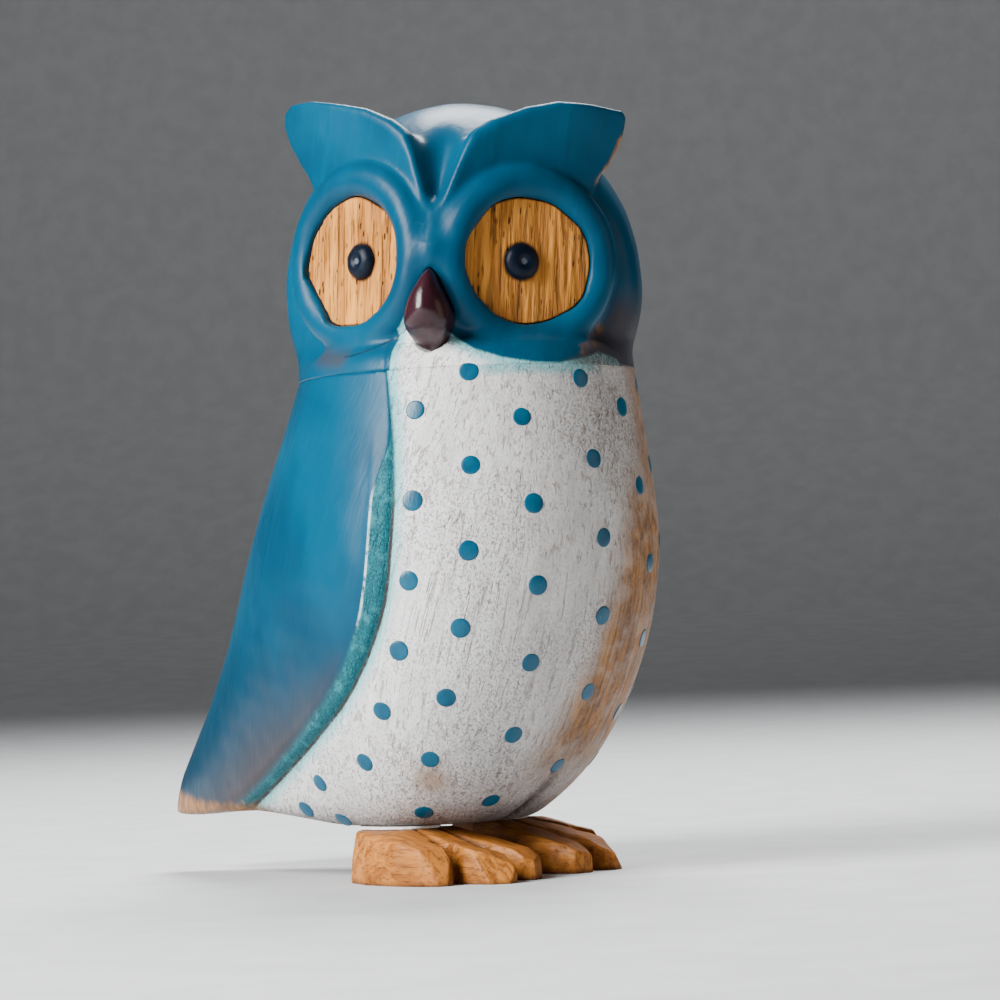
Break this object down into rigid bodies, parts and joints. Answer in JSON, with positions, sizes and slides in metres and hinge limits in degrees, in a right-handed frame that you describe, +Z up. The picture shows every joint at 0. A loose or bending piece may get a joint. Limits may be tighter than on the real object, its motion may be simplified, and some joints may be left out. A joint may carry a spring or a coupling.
{
  "type": "owl figurine",
  "caption": "Carved and painted wooden owl figurine with its head turned, standing on separate three-toed feet; a free-standing ornament.",
  "frame": {"origin": "on the plane the soles rest on, under the middle of the figure's overall box", "axes": "+Z up, -Y the way the chest faces, +Y towards the tail, +X the owl's left side"},
  "size_m": [0.0756, 0.1159, 0.15],
  "materials": {
    "painted_body": "satin lacquer over carved wood, whitewashed on the belly",
    "painted_head": "satin lacquer over carved wood, rubbed through on the edges",
    "eye_wood": "oiled open-grained wood",
    "pupil_black": "gloss lacquer",
    "beak_wood": "polished dark hardwood",
    "foot_wood": "oiled hardwood",
    "dowel_wood": "plain turned wood",
    "bamboo": "plain split bamboo",
    "glue": "filled wood glue, dried matt"
  },
  "bodies": {
    "root": {"beak": "beak_wood", "beak_pin": "bamboo", "body": "painted_body", "eye_disc_left": "eye_wood", "eye_disc_right": "eye_wood", "foot_dowel_left": "dowel_wood", "foot_dowel_right": "dowel_wood", "foot_left": "foot_wood", "foot_right": "foot_wood", "glue_pad_left": "glue", "glue_pad_right": "glue", "head": "painted_head", "neck_dowel": "dowel_wood", "pupil_left": "pupil_black", "pupil_right": "pupil_black"}
  },
  "joints": []
}
